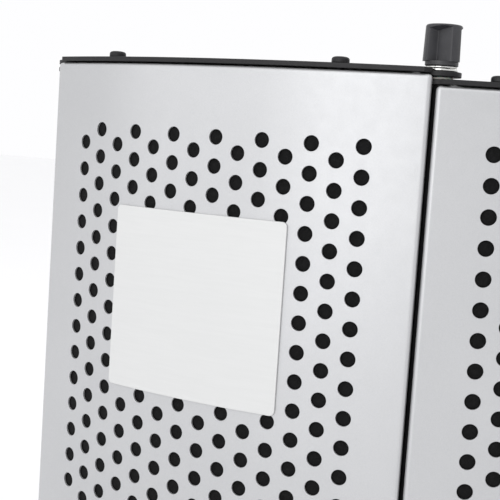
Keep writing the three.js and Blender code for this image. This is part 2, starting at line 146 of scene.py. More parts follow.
def new_material(name, color, rough, metallic=0.0, **sockets):
    material = bpy.data.materials.new(name)
    material.use_nodes = True
    shader = material.node_tree.nodes["Principled BSDF"]
    shader.inputs["Base Color"].default_value = (*color, 1)
    shader.inputs["Roughness"].default_value = rough
    shader.inputs["Metallic"].default_value = metallic
    for socket, value in sockets.items():
        shader.inputs[socket.replace("_", " ")].default_value = value
    return material


def node(material, kind, links=None, **settings):
    made = material.node_tree.nodes.new(kind)
    for name, value in settings.items():
        setattr(made, name, value)
    for socket, value in (links or {}).items():
        target = made.inputs[socket]
        if isinstance(value, bpy.types.NodeSocket):
            material.node_tree.links.new(value, target)
        else:
            target.default_value = value
    return made


def grain(material, scale, detail=3.0, stretch=(1, 1, 1), distortion=0.0, rough=0.55):
    """Noise on the surface's own coordinates; scale is its number of features in a metre."""
    where = node(material, "ShaderNodeTexCoord").outputs["Object"]
    mapped = node(material, "ShaderNodeMapping", {"Vector": where, "Scale": stretch})
    return node(material, "ShaderNodeTexNoise", {
        "Vector": mapped.outputs[0], "Scale": scale, "Detail": detail,
        "Roughness": rough, "Distortion": distortion,
    }).outputs["Fac"]


def cells(material, scale, feature="F1", stretch=(1, 1, 1)):
    where = node(material, "ShaderNodeTexCoord").outputs["Object"]
    mapped = node(material, "ShaderNodeMapping", {"Vector": where, "Scale": stretch})
    return node(material, "ShaderNodeTexVoronoi", {"Vector": mapped.outputs[0], "Scale": scale},
                feature=feature).outputs["Distance"]


def between(material, fac, low, high, out_low, out_high):
    """A value spread from low..high to out_low..out_high."""
    return node(material, "ShaderNodeMapRange", {
        "Value": fac, "From Min": low, "From Max": high, "To Min": out_low, "To Max": out_high,
    }).outputs["Result"]


def mixed(material, fac, dark, light):
    mix = node(material, "ShaderNodeMix", data_type="RGBA")
    material.node_tree.links.new(fac, mix.inputs["Factor"])
    mix.inputs[6].default_value = (*dark, 1)
    mix.inputs[7].default_value = (*light, 1)
    return mix.outputs[2]


def blend_sum(material, first, second):
    return node(material, "ShaderNodeMath", {0: first, 1: second}, operation="ADD").outputs[0]


def finish_surface(material, color=None, rough=None, heights=()):
    """Links a colour, a roughness and a chain of bumps, each a (height, strength, distance in mm)."""
    shader = material.node_tree.nodes["Principled BSDF"]
    links = material.node_tree.links
    if color:
        links.new(color, shader.inputs["Base Color"])
    if rough:
        links.new(rough, shader.inputs["Roughness"])
    normal = None
    for height, strength, distance in heights:
        bump = node(material, "ShaderNodeBump", {
            "Height": height, "Strength": strength, "Distance": distance * MM,
        })
        if normal:
            links.new(normal, bump.inputs["Normal"])
        normal = bump.outputs["Normal"]
    if normal:
        links.new(normal, shader.inputs["Normal"])
    return material


def silver_paint():
    """Fine silver paint: small bright flakes in a slightly uneven coat."""
    m = new_material("silver_paint", (0.62, 0.62, 0.63), 0.36, 0.55, Coat_Weight=0.15, Coat_Roughness=0.3)
    flakes = grain(m, 2600, 2)
    coat = grain(m, 14, 3)
    shade = blend_sum(m, between(m, flakes, 0.3, 0.7, 0, 0.75), between(m, coat, 0.3, 0.7, 0, 0.25))
    color = mixed(m, shade, (0.425, 0.429, 0.438), (0.5, 0.504, 0.512))
    rough = between(m, grain(m, 160, 3), 0.3, 0.7, 0.33, 0.4)
    return finish_surface(m, color, rough, [(flakes, 0.22, 0.05), (grain(m, 420, 2), 0.08, 0.12)])


def powder_coat():
    """Fine-textured black powder coat, rubbed a little greyer on its high spots."""
    m = new_material("black_powder_coat", (0.01, 0.01, 0.011), 0.5, Specular_IOR_Level=0.34)
    texture = grain(m, 1500, 4)
    rubbed = grain(m, 70, 4)
    shade = blend_sum(m, between(m, texture, 0.35, 0.75, 0, 0.7), between(m, rubbed, 0.4, 0.75, 0, 0.3))
    color = mixed(m, shade, (0.004, 0.0038, 0.0045), (0.013, 0.0125, 0.0145))
    rough = between(m, rubbed, 0.3, 0.7, 0.42, 0.58)
    return finish_surface(m, color, rough, [(texture, 0.45, 0.12), (grain(m, 500, 2), 0.2, 0.2)])


def badge_satin():
    """Smooth pale satin plate with a faint level grain."""
    m = new_material("badge_satin", (0.78, 0.785, 0.78), 0.42, 0.1)
    lines = grain(m, 700, 3, stretch=(0.06, 0.06, 1))
    color = mixed(m, between(m, lines, 0.3, 0.7, 0, 1), (0.555, 0.559, 0.556), (0.57, 0.574, 0.571))
    rough = between(m, grain(m, 60, 3), 0.3, 0.7, 0.38, 0.46)
    return finish_surface(m, color, rough, [(lines, 0.06, 0.04)])


def knob_plastic():
    """Matt moulded plastic with a fine spark-eroded grain and thumb-polished patches."""
    m = new_material("moulded_plastic", (0.1, 0.1, 0.11), 0.42)
    texture = grain(m, 2200, 3)
    patches = grain(m, 130, 3)
    color = mixed(m, between(m, patches, 0.3, 0.7, 0, 1), (0.014, 0.014, 0.017), (0.03, 0.03, 0.034))
    rough = between(m, patches, 0.3, 0.7, 0.36, 0.5)
    return finish_surface(m, color, rough, [(texture, 0.3, 0.08)])


def bright_plate():
    """Bright plating with fine turned lines and a few scuffs."""
    m = new_material("bright_plating", (0.72, 0.72, 0.7), 0.18, 1.0)
    lines = grain(m, 900, 2, stretch=(0.2, 0.2, 3))
    scuffs = grain(m, 320, 4, distortion=1.2)
    color = mixed(m, between(m, scuffs, 0.35, 0.7, 0, 1), (0.66, 0.66, 0.64), (0.78, 0.78, 0.76))
    rough = between(m, scuffs, 0.3, 0.7, 0.12, 0.3)
    return finish_surface(m, color, rough, [(lines, 0.12, 0.04)])


def zinc_plate():
    """Passivated zinc: spangled grey with a faint warm and cool drift."""
    m = new_material("zinc_plating", (0.5, 0.51, 0.53), 0.36, 1.0)
    spangle = cells(m, 420)
    drift = grain(m, 90, 2)
    color = mixed(m, between(m, drift, 0.3, 0.7, 0, 1), (0.46, 0.48, 0.53), (0.58, 0.56, 0.5))
    rough = between(m, spangle, 0.0, 0.9, 0.28, 0.46)
    return finish_surface(m, color, rough, [(spangle, 0.1, 0.06), (grain(m, 1600, 2), 0.1, 0.04)])


def natural_nylon():
    m = new_material("natural_nylon", (0.72, 0.69, 0.62), 0.48, 0.0,
                     Subsurface_Weight=0.2, Subsurface_Scale=0.002)
    marks = grain(m, 700, 3, stretch=(1, 1, 0.3))
    color = mixed(m, between(m, grain(m, 180, 2), 0.3, 0.7, 0, 1), (0.66, 0.63, 0.56), (0.76, 0.73, 0.67))
    return finish_surface(m, color, between(m, marks, 0.3, 0.7, 0.4, 0.58), [(marks, 0.15, 0.06)])


def open_cell_foam():
    """Open-cell foam: painted shade darkens its pores between paler cell walls; dusted on its high spots."""
    m = new_material("open_cell_foam", (0.03, 0.03, 0.034), 0.95, 0.0,
                     Sheen_Weight=0.08, Sheen_Roughness=0.6, Specular_IOR_Level=0.2)
    pores = cells(m, 950)
    fine = cells(m, 2300)
    dust = grain(m, 45, 4)
    # Painted shade: the pore pattern darkens the colour inside the pores, where shade falls, and leaves the
    # cell walls paler.
    fine_pore_shade = between(m, fine, 0, 0.8, 0.6, 1.1)
    walls = node(m, "ShaderNodeMath", {0: pores, 1: fine_pore_shade}, operation="MULTIPLY").outputs[0]
    shade = blend_sum(m, between(m, walls, 0.05, 0.7, 0, 0.75), between(m, dust, 0.35, 0.7, 0, 0.25))
    # The dark end of this mix is painted shade in the pores; the light end is the foam's walls and dust.
    color = mixed(m, shade, (0.002, 0.002, 0.0023), (0.022, 0.022, 0.024))
    rough = between(m, dust, 0.3, 0.7, 0.88, 1.0)
    return finish_surface(m, color, rough, [(pores, 0.8, 0.5), (fine, 0.5, 0.2)])


def acoustic_fleece():
    """Needled fleece: matted fibres in every direction with small tufts."""
    m = new_material("acoustic_fleece", (0.02, 0.02, 0.022), 1.0, 0.0,
                     Sheen_Weight=0.04, Sheen_Roughness=0.5, Specular_IOR_Level=0.15)
    fibres = grain(m, 1100, 5, stretch=(1, 1, 0.35), distortion=2.5, rough=0.7)
    crossing = grain(m, 1000, 5, stretch=(0.35, 0.35, 1), distortion=2.5, rough=0.7)
    tufts = grain(m, 330, 3, distortion=0.8)
    matted = node(m, "ShaderNodeMath", {0: fibres, 1: crossing}, operation="MAXIMUM").outputs[0]
    shade = blend_sum(m, between(m, matted, 0.4, 0.75, 0, 0.65), between(m, tufts, 0.35, 0.7, 0, 0.35))
    color = mixed(m, shade, (0.001, 0.001, 0.001), (0.014, 0.014, 0.0145))
    rough = between(m, tufts, 0.3, 0.7, 0.9, 1.0)
    return finish_surface(m, color, rough, [(matted, 0.8, 0.3), (tufts, 0.5, 0.5)])


def studio_floor():
    m = new_material("studio_floor", (0.9, 0.9, 0.905), 0.85)
    return finish_surface(m, mixed(m, grain(m, 3, 2), (0.945, 0.945, 0.95), (0.965, 0.965, 0.97)))


LOOKS = {
    "silver_skin": silver_paint(),
    "black_steel": powder_coat(),
    "badge": badge_satin(),
    "knob_plastic": knob_plastic(),
    "chrome": bright_plate(),
    "zinc": zinc_plate(),
    "nylon": natural_nylon(),
    "foam": open_cell_foam(),
    "fleece": acoustic_fleece(),
}


# ---------------------------------------------------------------- mesh helpers

def add_piece(name, body, shape, look, nodes=(), sharp=50):
    """A new piece from (points in metres, faces), smooth but for edges sharper than the angle."""
    points, faces = shape
    mesh = bpy.data.meshes.new(name)
    mesh.from_pydata([tuple(p) for p in points], [], faces)
    mesh.validate()
    mesh.shade_smooth()
    mesh.set_sharp_from_angle(angle=math.radians(sharp))
    mesh.materials.append(LOOKS[look])
    piece = bpy.data.objects.new(name, mesh)
    scene.collection.objects.link(piece)
    weighted = piece.modifiers.new("weighted normals", "WEIGHTED_NORMAL")
    weighted.keep_sharp = True
    weighted.weight = 80
    if nodes:
        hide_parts(*nodes)
    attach(piece, body)
    return piece


def moved(shape, matrix):
    """A shape in millimetres, moved by a matrix and given in metres."""
    points, faces = shape
    return [(matrix @ Vector(p)) * MM for p in points], faces


def joined(*shapes):
    points, faces = [], []
    for more, their_faces in shapes:
        start = len(points)
        points += more
        faces += [tuple(start + i for i in face) for face in their_faces]
    return points, faces


def turned(profile, segments=48, shape=None):
    """A piece turned about Z from points [radius, height], anticlockwise; shape(radius, height, angle)
    gives the radius where the piece isn't round."""
    points, rows = [], []
    for radius, height in profile:
        if radius < 1e-6:
            rows.append([len(points)] * segments)
            points.append((0, 0, height))
            continue
        rows.append(list(range(len(points), len(points) + segments)))
        for k in range(segments):
            angle = 2 * math.pi * k / segments
            r = shape(radius, height, angle) if shape else radius
            points.append((r * math.cos(angle), r * math.sin(angle), height))
    faces = []
    for a, b in zip(rows, rows[1:]):
        for k in range(segments):
            n = (k + 1) % segments
            corners = [a[k], a[n], b[n], b[k]]
            face = [c for i, c in enumerate(corners) if c != corners[i - 1]]
            if len(face) > 2:
                faces.append(tuple(face))
    return points, faces


def rounded_ring(inner, outer, low, high, edge=0.25, segments=48):
    """A washer-like ring with rounded edges."""
    profile = []
    for r, z, start in ((outer, low, -90), (outer, high, 0), (inner, high, 90), (inner, low, 180)):
        centre_r = r - edge if r == outer else r + edge
        centre_z = z + edge if z == low else z - edge
        for step in range(4):
            angle = math.radians(start + 30 * step)
            profile.append((centre_r + edge * math.cos(angle), centre_z + edge * math.sin(angle)))
    return turned(profile + profile[:1], segments)


def offset_loop(loop, distance):
    """A closed outline moved to its left by a distance, with mitred corners."""
    out = []
    for i, p in enumerate(loop):
        before = (p - loop[i - 1]).normalized()
        after = (loop[(i + 1) % len(loop)] - p).normalized()
        left = Vector((-before.y - after.y, before.x + after.x))
        scale = max(left.length_squared / 2, 0.3)
        out.append(p + left * (distance / scale))
    return out


def slab(loops, low, high, edge=0.35):
    """A flat slab with rounded edges. The first loop is its outline, anticlockwise; the rest are
    holes, clockwise."""
    loops = [[Vector(p) for p in loop] for loop in loops]
    steps = [
        (edge * (1 - math.cos(math.radians(a))), edge * (1 - math.sin(math.radians(a))))
        for a in (0, 30, 60, 90)
    ]
    levels = [(out, low + up) for out, up in reversed(steps)] + [(out, high - up) for out, up in steps]
    points, faces, rings = [], [], []
    for loop in loops:
        rows = []
        for out, height in levels:
            rows.append(list(range(len(points), len(points) + len(loop))))
            points += [(p.x, p.y, height) for p in offset_loop(loop, out)]
        faces += ribbon(rows)
        rings.append(rows)
    for level, turn_over in ((0, True), (-1, False)):
        flat = [[Vector(points[i]) for i in rows[level]] for rows in rings]
        index = [i for rows in rings for i in rows[level]]
        for triangle in tessellate_polygon(flat):
            face = [index[i] for i in triangle]
            a, b, c = (Vector(points[i]) for i in face)
            if ((b - a).cross(c - a).z < 0) != turn_over:
                face.reverse()
            faces.append(tuple(face))
    return points, faces


def ribbon(rows):
    """Faces between closed rows of points, each row given as the points' numbers."""
    faces = []
    for a, b in zip(rows, rows[1:]):
        for k in range(len(a)):
            n = (k + 1) % len(a)
            faces.append((a[k], a[n], b[n], b[k]))
    return faces


def circle(x, y, radius, steps=32, clockwise=True):
    turn = -1 if clockwise else 1
    angles = [turn * 2 * math.pi * k / steps for k in range(steps)]
    return [(x + radius * math.cos(a), y + radius * math.sin(a)) for a in angles]


def spread(start, end, step):
    """Even values from start to end, no further apart than step, ends included."""
    count = max(1, math.ceil(abs(end - start) / step))
    return [start + (end - start) * k / count for k in range(count + 1)]


# ---------------------------------------------------------------- perforated skins

def flange_depth(panel, along):
    """Depth of the turned-in top and bottom edges, with the round notches that clear the hinge lugs."""
    depth = FLANGE
    for axis, notch in ((AXIS_ALONG, 11.5), (-AXIS_ALONG, 11.5)) if not panel.side else ((0, 6.8),):
        gap = notch * notch - (along - axis) ** 2
        if gap > 0:
            depth = min(depth, AXIS_DEPTH - math.sqrt(gap))
    return depth


def skin_grid(panel):
    """Lines of the flat front sheet, along and up, and where the hole pattern starts in both."""
    columns, top_row = panel.holes
    first, last = columns[0][0] - HOLE_ALONG / 2, columns[-1][0] + HOLE_ALONG / 2
    low_margin = spread(panel.low + BEND + 0.6, first, 3)
    high_margin = spread(last, panel.high - BEND - 0.6, 3)
    pattern = [first + HOLE_ALONG / 2 * k for k in range(2 * len(columns) + 1)]
    along = [panel.low + BEND] + low_margin[:-1] + pattern + high_margin[1:] + [panel.high - BEND]
    bottom = top_row - 29 * HOLE_UP / 2
    rows = [bottom + HOLE_UP / 2 * k for k in range(31)]
    low_rows = spread(-panel.half + BEND + 0.6, rows[0], 9)
    high_rows = spread(rows[-1], panel.half - BEND - 0.6, 9)
    up = [-panel.half + BEND] + low_rows[:-1] + rows + high_rows[1:] + [panel.half - BEND]
    return along, up, len(low_margin), len(low_rows)


def punched_hole(outer, inner, faces, boundary, along, up):
    """Faces between a cell's eight boundary points and a round hole with a slightly rolled edge."""
    steps = 32
    rings = []
    for radius, depth in ((HOLE + 0.22, 0.0), (HOLE + 0.07, 0.05), (HOLE, 0.2)):
        rings.append(list(range(len(outer), len(outer) + steps)))
        for k in range(steps):
            angle = 2 * math.pi * k / steps
            s, z = along + radius * math.cos(angle), up + radius * math.sin(angle)
            outer.append((s, depth, z))
            inner.append((s, SHEET, z))
    for q in range(8):
        arc = [rings[0][(4 * q + k) % steps] for k in range(5)]
        faces.append((boundary[q], boundary[(q + 1) % 8], *reversed(arc)))
    faces += ribbon(rings)


def bent_edges(panel, outer, inner, faces, corner_of, along, up):
    """The rounded bends and turned-in walls all round the front sheet."""
    last_i, last_j = len(along) - 1, len(up) - 1
    walls = {
        0: HINGE_WALL if panel.hinge_high else END_WALL,
        180: HINGE_WALL if panel.hinge_low else END_WALL,
    }
    columns = []

    def column(i, j, angle, depth):
        columns.append((corner_of(i, j), along[i], up[j], math.radians(angle), depth))

    def corner(i, j, start, wall):
        for step in range(4):
            column(i, j, start + 30 * step, min(flange_depth(panel, along[i]), walls[wall]))

    for i in range(1, last_i):
        column(i, 0, -90, flange_depth(panel, along[i]))
    corner(last_i, 0, -90, 0)
    for j in range(1, last_j):
        column(last_i, j, 0, walls[0])
    corner(last_i, last_j, 0, 0)
    for i in reversed(range(1, last_i)):
        column(i, last_j, 90, flange_depth(panel, along[i]))
    corner(0, last_j, 90, 180)
    for j in reversed(range(1, last_j)):
        column(0, j, 180, walls[180])
    corner(0, 0, 180, 180)

    rows = []
    for start, s, z, angle, depth in columns:
        row = [start]
        for lean in (22.5, 45, 67.5, 90, None):
            f = math.radians(90 if lean is None else lean)
            points = []
            for radius in (BEND, BEND - SHEET):
                n = depth if lean is None else BEND - radius * math.cos(f)
                reach = radius * math.sin(f)
                points.append((s + reach * math.cos(angle), n, z + reach * math.sin(angle)))
            row.append(len(outer))
            outer.append(points[0])
            inner.append(points[1])
        rows.append(row)
    for a, b in zip(rows, rows[1:] + rows[:1]):
        for k in range(5):
            face = (a[k], a[k + 1], b[k + 1], b[k])
            faces.append(face if a[k] != b[k] else face[:3])


def perforated_skin(panel):
    columns, _ = panel.holes
    along, up, first_i, first_j = skin_grid(panel)
    outer, inner, faces, index = [], [], [], {}

    def corner_of(i, j):
        if (i, j) not in index:
            index[i, j] = len(outer)
            outer.append((along[i], 0.0, up[j]))
            inner.append((along[i], SHEET, up[j]))
        return index[i, j]

    taken = set()
    for c, (_, full) in enumerate(columns):
        for k in range(15 if full else 14):
            i, j = first_i + 2 * c, first_j + 28 - 2 * k - (0 if full else 1)
            taken |= {(i, j), (i + 1, j), (i, j + 1), (i + 1, j + 1)}
            cell = [(2, 1), (2, 2), (1, 2), (0, 2), (0, 1), (0, 0), (1, 0), (2, 0)]
            boundary = [corner_of(i + di, j + dj) for di, dj in cell]
            punched_hole(outer, inner, faces, boundary, along[i + 1], up[j + 1])
    for i in range(len(along) - 1):
        for j in range(len(up) - 1):
            if (i, j) not in taken:
                corners = ((i, j), (i + 1, j), (i + 1, j + 1), (i, j + 1))
                faces.append(tuple(corner_of(*corner) for corner in corners))
    bent_edges(panel, outer, inner, faces, corner_of, along, up)

    shift = len(outer)
    everything = faces + [tuple(i + shift for i in reversed(face)) for face in faces]
    edges = set()
    for face in faces:
        for a, b in zip(face, face[1:] + face[:1]):
            if (b, a) in edges:
                edges.remove((b, a))
            else:
                edges.add((a, b))
    everything += [(b, a, a + shift, b + shift) for a, b in sorted(edges)]
    points = [panel.place(*p) for p in outer + inner]
    return add_piece(f"{panel.name}_perforated_skin", panel.name, (points, everything), "silver_skin",
                     [f"{panel.name}_skin"], sharp=60)


# ---------------------------------------------------------------- fleece and foam

def soft_block(panel, outline, top, step, roughness):
    """An upright block of soft material from an outline [along, inward], with an uneven surface."""
    levels = spread(-top, top, step)
    points = []
    count = len(outline)
    for up in levels:
        for along, inward in outline:
            at = Vector((along, inward, up))
            lump = noise.noise_vector(at / 11) * 0.55
            lump += noise.noise_vector(at / 3.1 + Vector((7, 3, 5))) * 0.45
            moved_to = at + lump * roughness
            moved_to.z = up if abs(up) == top else moved_to.z
            points.append(panel.place(*moved_to))
    faces = ribbon([range(start, start + count) for start in range(0, len(points), count)])
    faces.append(tuple(reversed(range(count))))
    faces.append(tuple(range(len(points) - count, len(points))))
    return points, faces


def foam_outline(panel):
    """Upright wedges with rounded tips and valleys; at a hinge the end is cut back for the fold."""
    def end(hinged, depth):
        return 11.6 + max(0, depth - AXIS_DEPTH) * 0.7 if hinged else SHEET + 1.2
    start, valley, stop = 12.8, 27.5, 44.6
    first, last = panel.low + end(panel.hinge_low, start), panel.high - end(panel.hinge_high, start)
    front = [(s, start) for s in spread(first, last, 8)]
    low, high = panel.low + end(panel.hinge_low, stop), panel.high - end(panel.hinge_high, stop)
    wedges = round((high - low) / 22)
    back = []
    for s in spread(high, low, 0.9):
        phase = (high - s) / (high - low) * wedges % 1
        rise = min(1, max(0, (1 - abs(2 * phase - 1) - 0.13) / 0.7))
        smooth = rise * rise * (3 - 2 * rise)
        back.append((s, valley + (stop - valley) * (0.35 * rise + 0.65 * smooth)))
    side_up = [(panel.high - end(panel.hinge_high, n), n) for n in spread(start, valley, 3)[1:-1]]
    side_down = [(panel.low + end(panel.hinge_low, n), n) for n in spread(valley, start, 3)[1:-1]]
    return front + side_up + back + side_down


def fleece_outline(panel):
    low = panel.low + (9.2 if panel.hinge_low else 2.4)
    high = panel.high - (9.2 if panel.hinge_high else 2.4)
    front = [(s, 1.95) for s in spread(low + 0.8, high - 0.8, 2.6)]
    back = [(s, 11.2) for s in spread(high - 1.2, low + 1.2, 6)]
    return front + [(high, 3), (high, 6.5), (high, 10)] + back + [(low, 10), (low, 6.5), (low, 3)]


def soft_pieces(panel):
    block = soft_block(panel, foam_outline(panel), panel.plate - 0.6, 5, 0.45)
    foam = add_piece(f"{panel.name}_wedge_foam", panel.name, block, "foam", [f"{panel.name}_foam"], sharp=70)
    sheet = soft_block(panel, fleece_outline(panel), panel.half - 8.3, 3.2, 0.35)
    fleece = add_piece(f"{panel.name}_needled_fleece", panel.name, sheet, "fleece",
                       [f"{panel.name}_fleece"], sharp=70)


# ---------------------------------------------------------------- end plates and badge

FREE_PLATE_END = [(2, -0.6), (0, 1.4), (1, 25), (4, 28)]


def lug_arc(out, axis, start, stop):
    """Points round a hinge axis, as far from it as the lug reaches; angles are from the outward side."""
    return [
        Vector((axis + out * LUG * math.cos(a), AXIS_DEPTH + LUG * math.sin(a)))
        for a in spread(math.radians(start), math.radians(stop), math.radians(8))
    ]


def hinge_end(edge, out, axis, rounded):
    """Outline at a hinge from front to back: round the lug, or hollowed to leave room for a lower one."""
    if rounded:
        front, back, arc = (2, -0.6), (15, 28), lug_arc(out, axis, -135, 126)
    else:
        front, back, arc = (4.4, -0.6), (5, 28), lug_arc(out, axis, 250, 123)
    return [Vector((edge - out * front[0], front[1])), *arc, Vector((edge - out * back[0], back[1]))]


def plate_outline(panel):
    ends = []
    for edge, inner_side, hinged in ((panel.high, 1, panel.hinge_high), (panel.low, -1, panel.hinge_low)):
        if not hinged:
            ends.append([Vector((edge - inner_side * a, n)) for a, n in FREE_PLATE_END])
        elif panel.side:
            ends.append(hinge_end(edge, inner_side, 0, True))
        else:
            ends.append(hinge_end(edge, inner_side, AXIS_ALONG * inner_side, False))
    high, low = ends
    outline = high + list(reversed(low))
    loop = []
    for i, p in enumerate(outline):
        q = outline[(i + 1) % len(outline)]
        loop += [p.lerp(q, f) for f in spread(0, 1, 5 / max((q - p).length, 1))[:-1]]
    return loop


def end_plate(panel, top):
    """A plate with its lugs, rounded edges and bores. The centre's lower plate is its upper one turned over.
    Its flat faces are made in plan, already bent, so that they follow the curve."""
    def in_plan(loop):
        return [panel.place(along, inward, 0).xy / MM for along, inward in loop]

    hinges = [(0, AXIS_DEPTH)] if panel.side else [(-AXIS_ALONG, AXIS_DEPTH), (AXIS_ALONG, AXIS_DEPTH)]
    axes = in_plan(hinges)
    bores = [circle(x, y, BOLT_BORE) for x, y in axes]
    screws = in_plan([(along, SCREW_DEPTH) for along in panel.screws])
    screw_holes = [circle(x, y, SCREW_BORE, 20) for x, y in screws]
    outline = in_plan(plate_outline(panel))
    low, high = panel.plate, panel.plate + PLATE
    if panel.side:
        points, faces = slab([outline] + bores + screw_holes, low, high, 0.3)
    else:
        lugs = [
            slab([circle(x, y, LUG, 56, clockwise=False), bore], low - LUG_DROP, high - LUG_DROP, 0.3)
            for (x, y), bore in zip(axes, bores)
        ]
        points, faces = joined(slab([outline] + screw_holes, low, high, 0.3), *lugs)
    if not top:
        points = [(x, y, -z) for x, y, z in points]
        faces = [tuple(reversed(face)) for face in faces]
    where = "top" if top else "bottom"
    shape = moved((points, faces), Matrix.Translation((0, 0, MIDDLE)))
    return add_piece(f"{panel.name}_{where}_end_plate", panel.name, shape, "black_steel",
                     [f"{panel.name}_{where}_plate"], sharp=45)


def badge_plate():
    """A blank plate bent to the skin's curve, with rounded corners and a soft raised edge."""
    width, height, side, raised = BADGE
    half_w, half_h, corner = width / 2, height / 2, 3.0

    def chain(inset):
        """Upper edge from left to right as (along, up) pairs."""
        w, h, c = half_w - inset, half_h - inset, corner - inset * 0.5
        angles = [math.radians(a) for a in range(0, 91, 15)]
        left = [(-w + c - c * math.cos(a), h - c + c * math.sin(a)) for a in angles]
        middle = [(x, h) for x in spread(-w + c, w - c, 4)[1:-1]]
        return left + middle + [(-x, z) for x, z in reversed(left)]

    levels = [(0, 0.3), (0, 0.95), (0.08, 1.13), (0.22, 1.25), (0.45, 1.3), (1.6, 1.3), (2.2, 1.22)]
    points, faces, rows = [], [], []
    for inset, out in levels:
        upper = chain(inset)
        loop = [(x, -z) for x, z in upper] + list(reversed(upper))
        rows.append(list(range(len(points), len(points) + len(loop))))
        points += [centre.place(side + x, -out, raised + z) for x, z in loop]
    count = len(rows[0])
    faces += ribbon(rows)
    for k in range(count // 2 - 1):
        for row, turn_over in ((rows[-1], False), (rows[0], True)):
            face = (row[k], row[k + 1], row[count - 2 - k], row[count - 1 - k])
            faces.append(tuple(reversed(face)) if turn_over else face)
    return add_piece("blank_badge", "centre", (points, faces), "badge", ["badge_plate"], sharp=50)


# ---------------------------------------------------------------- screws, knobs and hinge hardware

def pan_head(radius=5.1, height=3.8):
    """A pan head with a cross recess, its seat at height 0.3, and a short shank."""
    def recess(r, angle):
        x, y = abs(r * math.cos(angle)), abs(r * math.sin(angle))
        near, far = min(x, y), max(x, y)
        inside = max(0, min(1, (0.72 - near) / 0.2)) * max(0, min(1, (2.5 - far) / 0.5))
        return inside * 1.5
    segments = 64
    dome = [(radius, 2.0), (radius - 0.12, 2.6), (radius - 0.45, 3.1), (radius - 1.0, 3.45),
            (radius - 1.7, 3.68)]
    flat = [(r, height) for r in (2.6, 2.45, 2.2, 1.95, 1.5, 1.1, 0.85, 0.65, 0.45, 0.2)]
    shank = [(0, -3), (2.4, -3), (2.4, 0.3), (radius - 0.2, 0.3), (radius, 0.5)]
    profile = shank + dome + flat + [(0, height)]
    points, faces = turned(profile, segments)
    sunk = []
    for x, y, z in points:
        r = math.hypot(x, y)
        sunk.append((x, y, z - recess(r, math.atan2(y, x)) if z > height - 0.05 else z))
    return sunk, faces


def plate_screws():
    head = pan_head()
    for panel in PANELS:
        for i, along in enumerate(panel.screws):
            for where, sign in (("top", 1), ("bottom", -1)):
                at = panel.place(along, SCREW_DEPTH, sign * (panel.plate + PLATE)) / MM
                spin = Matrix.Rotation(math.radians(25 + 47 * i + 31 * sign + 13 * panel.side), 4, "Z")
                over = Matrix.Rotation(math.pi if sign < 0 else 0, 4, "X")
                shape = moved(head, Matrix.Translation(at) @ over @ spin)
                add_piece(f"{panel.name}_{where}_pan_screw_{i + 1}", panel.name, shape, "black_steel",
                          [f"{panel.name}_{where}_screw_{i + 1}"], sharp=40)
    for i, x in enumerate(BAR_SCREWS):
        low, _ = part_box("mount_bar")
        at = Vector((x, APEX + BAR_SCREW_DEPTH, low.z / MM))
        turned_over = Matrix.Rotation(math.pi, 4, "X") @ Matrix.Rotation(0.4 + i, 4, "Z")
        shape = moved(head, Matrix.Translation(at) @ turned_over)
        add_piece(f"bar_pan_screw_{i + 1}", "centre", shape, "black_steel", [f"bar_screw_{i + 1}"], sharp=40)


def knob_shape(turn):
    """A thumb knob with three lobes. Lopsided V grooves run up it and end under its rim."""
    crease = Vector((3.5, -3.0))
    left, right = Vector((8.4, -11.1)), Vector((12.0, 8.1))
    lips = math.radians(-51), math.atan2(crease.y, crease.x), math.radians(27)

    def to_face(angle, other):
        direction = other - crease
        ray = Vector((math.cos(angle), math.sin(angle)))
        return (crease.x * direction.y - crease.y * direction.x) / (ray.x * direction.y - ray.y * direction.x)

    def outer(height):
        r = 10.6 - 0.5 * height / KNOB_HEIGHT
        over = max(0, height - (KNOB_HEIGHT - 1.3))
        return r - 1.3 + math.sqrt(max(0, 1.3 ** 2 - over ** 2))

    def shape(_, height, angle):
        full = outer(height)
        a = (angle - turn + math.pi / 3 * 1.2) % (2 * math.pi / 3) - math.pi / 3 * 1.2
        if not lips[0] < a < lips[2] or height < 0:
            return full
        face = to_face(a, left if a < lips[1] else right)
        ceiling = 3.5 + (height - (KNOB_HEIGHT - 3.4)) / 0.35
        if height > KNOB_HEIGHT - 3.4:
            face = max(face, ceiling / math.cos(a))
        return min(full, face)

    rim = [KNOB_HEIGHT - 1.3 + 1.3 * math.sin(math.radians(a)) for a in (0, 18, 36, 54, 72)]
    sides = spread(1, KNOB_HEIGHT - 3.7, 1.5) + spread(KNOB_HEIGHT - 3.4, KNOB_HEIGHT - 1.5, 0.19)
    heights = [0, 0.25] + sides + rim
    segments = 240
    body = turned([(1, h) for h in heights], segments, shape)
    points, faces = body
    for _ in range(2):
        rows = [points[row * segments:(row + 1) * segments] for row in range(len(heights))]
        points = [
            tuple((Vector(row[k - 1]) + 2 * Vector(row[k]) + Vector(row[(k + 1) % segments])) / 4)
            for row in rows for k in range(segments)
        ]
    start = len(points) - segments
    last = [points[start + k] for k in range(segments)]
    for scale, height in ((0.94, KNOB_HEIGHT - 0.02), (0.6, KNOB_HEIGHT), (0.25, KNOB_HEIGHT - 0.05)):
        row = len(points)
        points += [(x * scale, y * scale, height) for x, y, _ in last]
        faces += ribbon([range(row - segments, row), range(row, row + segments)])
    points.append((0, 0, KNOB_HEIGHT - 0.05))
    top = len(points) - 1
    faces += [(top - segments + k, top - segments + (k + 1) % segments, top) for k in range(segments)]
    points.append((0, 0, 0))
    faces += [(top + 1, (k + 1) % segments, k) for k in range(segments)]
    foot = -KNOB_NECK
    neck = turned([(3.3, foot), (8.8, foot), (9.2, foot + 0.4), (9.2, 0.1), (3.3, 0.1), (3.3, foot)], 64)
    return joined((points, faces), neck)


